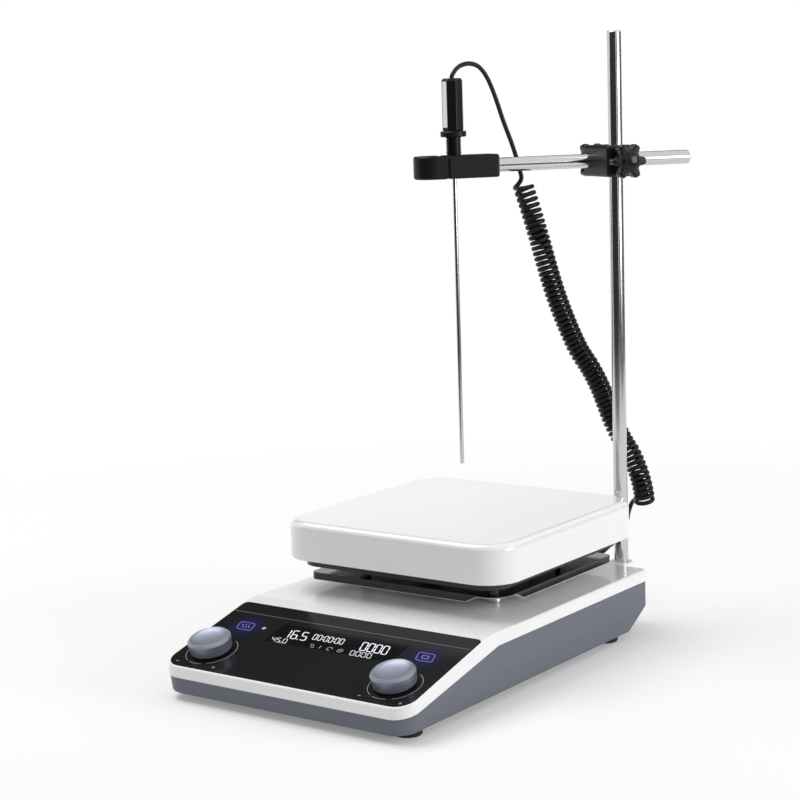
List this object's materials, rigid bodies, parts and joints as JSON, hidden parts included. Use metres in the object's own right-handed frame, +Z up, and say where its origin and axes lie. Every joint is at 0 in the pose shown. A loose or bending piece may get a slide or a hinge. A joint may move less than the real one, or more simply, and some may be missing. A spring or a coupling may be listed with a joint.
{
  "type": "heated magnetic stirrer",
  "caption": "Magnetic stirrer with a square heated plate on a sloped-panel base, push-and-turn knobs, and a rod stand holding a temperature probe on a curly lead.",
  "frame": {"origin": "on the bench, below the middle of the part's box", "axes": "+Z up, +Y to the rear, +X to the right as seen from the controls"},
  "size_m": [0.198, 0.3766, 0.424],
  "materials": {
    "cover_white": "smooth white moulding",
    "base_grey": "blue-grey moulding",
    "foot_rubber": "plain",
    "screw_steel": "plain",
    "rear_grey": "plain",
    "black_plastic": "fine grain",
    "contact_metal": "plated",
    "overlay_black": "glossy film",
    "display_dark": "dark glass",
    "key_blue": "lit from below",
    "lens_white": "clear",
    "board_green": "solder mask",
    "electronics": "mixed",
    "knob_grey": "satin",
    "natural_plastic": "plain",
    "motor_steel": "plated",
    "magnet": "sintered",
    "plate_white": "glossy",
    "heater_metal": "plain",
    "insulation": "mineral fibre",
    "sheet_steel": "polished",
    "bracket_white": "white paint",
    "rod_steel": "polished",
    "pad_brass": "plain",
    "cord_black": "smooth jacket"
  },
  "bodies": {
    "stirrer_base": {"base_tray": "base_grey", "top_cover": "cover_white", "rubber_feet": "foot_rubber", "case_screws": "screw_steel", "rear_panel": "rear_grey", "mains_inlet": "black_plastic", "inlet_pins": "contact_metal", "switch_frame": "black_plastic", "fuse_holder": "black_plastic", "probe_socket": "screw_steel", "panel_overlay": "overlay_black", "display_module": "display_dark", "key_light_guides": "key_blue", "status_lens": "lens_white", "control_board": "board_green", "board_posts": "screw_steel", "temp_encoder": "motor_steel", "speed_encoder": "motor_steel", "stir_motor": "motor_steel", "motor_bracket": "motor_steel", "motor_screws": "screw_steel", "hotplate": "plate_white", "heating_element": "heater_metal", "insulation_pad": "insulation", "heater_pan": "sheet_steel", "plate_posts": "screw_steel", "heat_shield": "sheet_steel", "power_board": "board_green", "power_parts": "electronics", "rod_bracket": "bracket_white", "bracket_screws": "screw_steel", "cord_coil": "cord_black", "cord_lead": "cord_black", "probe_plug": "black_plastic"},
    "temp_push": {"temp_plunger": "natural_plastic"},
    "temp_dial": {"temp_shaft": "screw_steel", "temp_knob": "knob_grey"},
    "speed_push": {"speed_plunger": "natural_plastic"},
    "speed_dial": {"speed_shaft": "screw_steel", "speed_knob": "knob_grey"},
    "stir_rotor": {"motor_shaft": "screw_steel", "magnet_yoke": "motor_steel", "drive_magnets": "magnet"},
    "switch_rocker": {"power_rocker": "black_plastic"},
    "fuse_cover": {"fuse_cap": "black_plastic"},
    "stand_rod": {"support_rod": "rod_steel"},
    "boss": {"boss_head": "black_plastic", "rod_screw_pad": "pad_brass", "arm_screw_pad": "pad_brass"},
    "rod_lock_screw": {"rod_hand_screw": "black_plastic"},
    "arm_lock_screw": {"arm_hand_screw": "black_plastic"},
    "arm": {"cross_rod": "rod_steel"},
    "probe": {"probe_clamp": "black_plastic", "clamp_screw": "screw_steel", "probe_handle": "black_plastic", "probe_collar": "black_plastic", "probe_sheath": "rod_steel", "cord_top": "cord_black"}
  },
  "joints": [
    {"name": "temp_press", "type": "slide", "parent": "stirrer_base", "child": "temp_push", "axis": [0, 0.2487, -0.9686], "range_m": [0, 0.0006], "stiffness_N_per_m": 2500, "springref_m": -0.0004},
    {"name": "temp_turn", "type": "hinge", "parent": "temp_push", "child": "temp_dial", "pos_m": [-0.0743, -0.16476, 0.02904], "axis": [0, -0.2487, 0.9686], "continuous": true},
    {"name": "speed_press", "type": "slide", "parent": "stirrer_base", "child": "speed_push", "axis": [0, 0.2487, -0.9686], "range_m": [0, 0.0006], "stiffness_N_per_m": 2500, "springref_m": -0.0004},
    {"name": "speed_turn", "type": "hinge", "parent": "speed_push", "child": "speed_dial", "pos_m": [0.0743, -0.16476, 0.02904], "axis": [0, -0.2487, 0.9686], "continuous": true},
    {"name": "stir_spin", "type": "hinge", "parent": "stirrer_base", "child": "stir_rotor", "pos_m": [0, 0.0182, 0.055], "axis": [0, 0, 1], "continuous": true},
    {"name": "power_rock", "type": "hinge", "parent": "stirrer_base", "child": "switch_rocker", "pos_m": [-0.036, 0.1007, 0.0325], "axis": [1, 0, 0], "range_deg": [0, 18]},
    {"name": "fuse_turn", "type": "hinge", "parent": "stirrer_base", "child": "fuse_cover", "pos_m": [-0.011, 0.1057, 0.0325], "axis": [0, 1, 0], "range_deg": [0, 90]},
    {"name": "stand_turn", "type": "hinge", "parent": "stirrer_base", "child": "stand_rod", "pos_m": [0.0705, 0.1187, 0], "axis": [0, 0, 1], "range_deg": [-60, 60], "deforming": ["cord_top", "cord_coil"]},
    {"name": "boss_slide", "type": "slide", "parent": "stand_rod", "child": "boss", "axis": [0, 0, 1], "range_m": [-0.025, 0.07], "deforming": ["cord_top", "cord_coil"]},
    {"name": "rod_screw_turn", "type": "hinge", "parent": "boss", "child": "rod_lock_screw", "pos_m": [0.0705, 0.1187, 0.334], "axis": [0.829, -0.5592, 0], "range_deg": [0, 360]},
    {"name": "arm_screw_turn", "type": "hinge", "parent": "boss", "child": "arm_lock_screw", "pos_m": [0.05392, 0.12988, 0.334], "axis": [-0.829, 0.5592, 0], "range_deg": [0, 360]},
    {"name": "arm_slide", "type": "slide", "parent": "boss", "child": "arm", "axis": [-0.5592, -0.829, 0], "range_m": [-0.05, 0.045], "deforming": ["cord_top", "cord_coil"]},
    {"name": "probe_tilt", "type": "hinge", "parent": "arm", "child": "probe", "pos_m": [0.05392, 0.12988, 0.334], "axis": [-0.5592, -0.829, 0], "range_deg": [-45, 45], "deforming": ["cord_top", "cord_coil"]}
  ]
}
